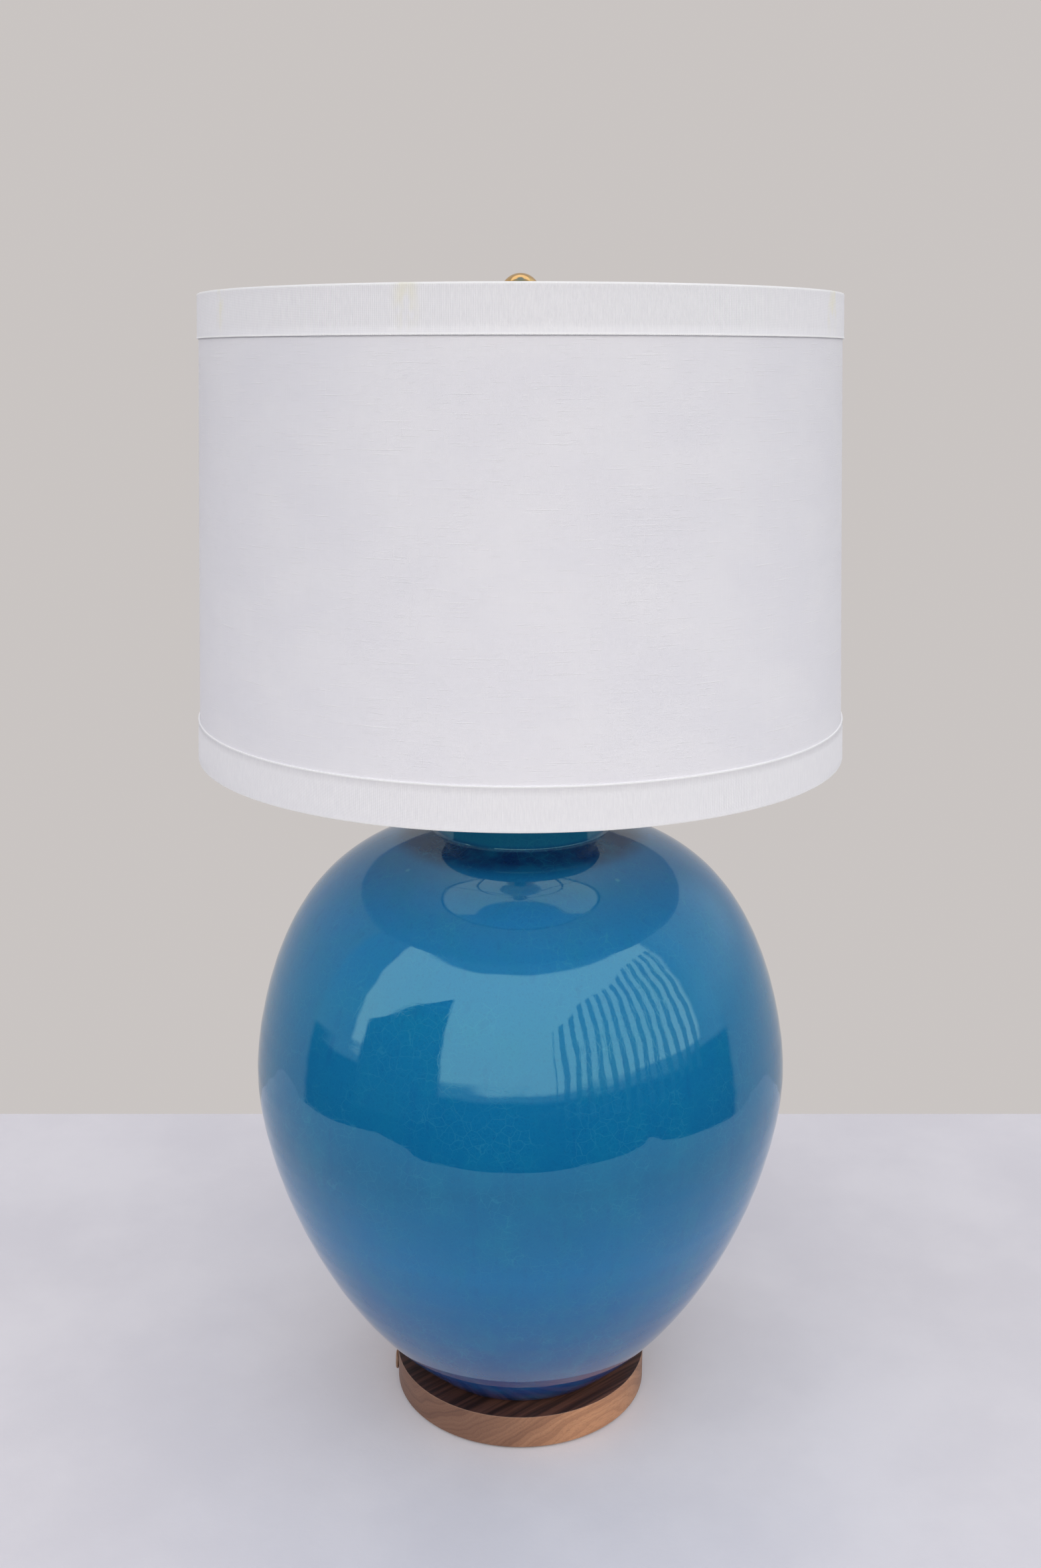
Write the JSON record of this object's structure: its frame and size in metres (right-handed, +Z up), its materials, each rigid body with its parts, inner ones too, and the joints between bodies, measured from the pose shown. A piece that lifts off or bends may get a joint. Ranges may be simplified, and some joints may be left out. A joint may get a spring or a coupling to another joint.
{
  "type": "table lamp with shade",
  "caption": "Table lamp: glossy crackle-glazed blue ceramic jar on a round walnut disc, harp, bulb and linen drum shade with ribbon trim and ball finial.",
  "frame": {"origin": "centre of the underside of the felt pad, where the lamp stands", "axes": "+Z up the rod, -Y towards the front with the switch knob, -X towards the cord outlet"},
  "size_m": [0.407, 0.407, 0.752],
  "materials": {
    "felt_pad": "dense dark green felt",
    "walnut_base": "oiled walnut, satin",
    "cord_bushing": "moulded brown plastic",
    "base_washer": "zinc plated",
    "base_nut": "plain brass",
    "foot_gasket": "cork and rubber sheet",
    "ceramic_jar": "glossy crackle glaze, turquoise blue",
    "threaded_rod": "zinc plated thread",
    "jar_cap": "spun brass, satin",
    "neck_tube": "polished brass",
    "check_ring": "polished brass",
    "lock_nut": "plain brass",
    "harp_saddle": "brass-plated steel",
    "harp_wire": "brass-plated steel wire",
    "harp_stud": "polished brass",
    "harp_ferrule": "polished brass",
    "holder_cap": "brass-plated, satin",
    "holder_shell": "brass-plated, satin",
    "holder_sleeve": "insulating fibre card",
    "holder_body": "moulded phenolic",
    "terminal_screw_hot": "brass",
    "terminal_screw_neutral": "nickel plated",
    "screw_shell": "rolled aluminium",
    "centre_contact": "spring brass",
    "switch_shaft": "plated steel",
    "switch_knob": "ribbed black plastic",
    "bulb_contact": "solder",
    "bulb_insulator": "black glass insulator",
    "bulb_base": "rolled aluminium",
    "bulb_glass": "frosted white glass",
    "shade_fabric": "white linen weave",
    "shade_liner": "white styrene backing",
    "shade_wire": "brass-plated steel wire",
    "spider_hub": "brass-plated washer",
    "shade_trim": "off-white ribbed ribbon",
    "finial": "polished brass"
  },
  "bodies": {
    "stand": {"felt_pad": "felt_pad", "walnut_base": "walnut_base", "cord_bushing": "cord_bushing", "base_washer": "base_washer", "base_nut": "base_nut", "foot_gasket": "foot_gasket", "ceramic_jar": "ceramic_jar", "threaded_rod": "threaded_rod", "jar_cap": "jar_cap", "neck_tube": "neck_tube", "check_ring": "check_ring", "lock_nut": "lock_nut", "harp_saddle": "harp_saddle", "harp_wire": "harp_wire", "harp_stud": "harp_stud", "holder_cap": "holder_cap", "holder_shell": "holder_shell", "holder_sleeve": "holder_sleeve", "holder_body": "holder_body", "terminal_screw_hot": "terminal_screw_hot", "terminal_screw_neutral": "terminal_screw_neutral", "screw_shell": "screw_shell", "centre_contact": "centre_contact"},
    "switch": {"switch_shaft": "switch_shaft", "switch_knob": "switch_knob"},
    "bulb": {"bulb_contact": "bulb_contact", "bulb_insulator": "bulb_insulator", "bulb_base": "bulb_base", "bulb_glass": "bulb_glass"},
    "ferrule_left": {"harp_ferrule_left": "harp_ferrule"},
    "ferrule_right": {"harp_ferrule_right": "harp_ferrule"},
    "shade": {"spider_hub": "spider_hub", "spider_arm_1": "shade_wire", "spider_arm_2": "shade_wire", "spider_arm_3": "shade_wire", "spider_arm_4": "shade_wire", "top_ring": "shade_wire", "bottom_ring": "shade_wire", "shade_liner": "shade_liner", "shade_fabric": "shade_fabric", "top_trim": "shade_trim", "bottom_trim": "shade_trim"},
    "finial": {"finial_foot": "finial", "finial_ball": "finial"}
  },
  "joints": [
    {"name": "switch_turn", "type": "hinge", "parent": "stand", "child": "switch", "pos_m": [0, -0.02, 0.5022], "axis": [0, -1, 0], "continuous": true},
    {"name": "bulb_turn", "type": "hinge", "parent": "stand", "child": "bulb", "pos_m": [0, 0, 0.53], "axis": [0, 0, 1], "continuous": true},
    {"name": "ferrule_left_slide", "type": "slide", "parent": "stand", "child": "ferrule_left", "axis": [0, 0, 1], "range_m": [0, 0.009]},
    {"name": "ferrule_right_slide", "type": "slide", "parent": "stand", "child": "ferrule_right", "axis": [0, 0, 1], "range_m": [0, 0.009]},
    {"name": "shade_turn", "type": "hinge", "parent": "stand", "child": "shade", "pos_m": [0, 0, 0.7213], "axis": [0, 0, 1], "continuous": true},
    {"name": "finial_turn", "type": "hinge", "parent": "stand", "child": "finial", "pos_m": [0, 0, 0.7397], "axis": [0, 0, 1], "continuous": true}
  ]
}
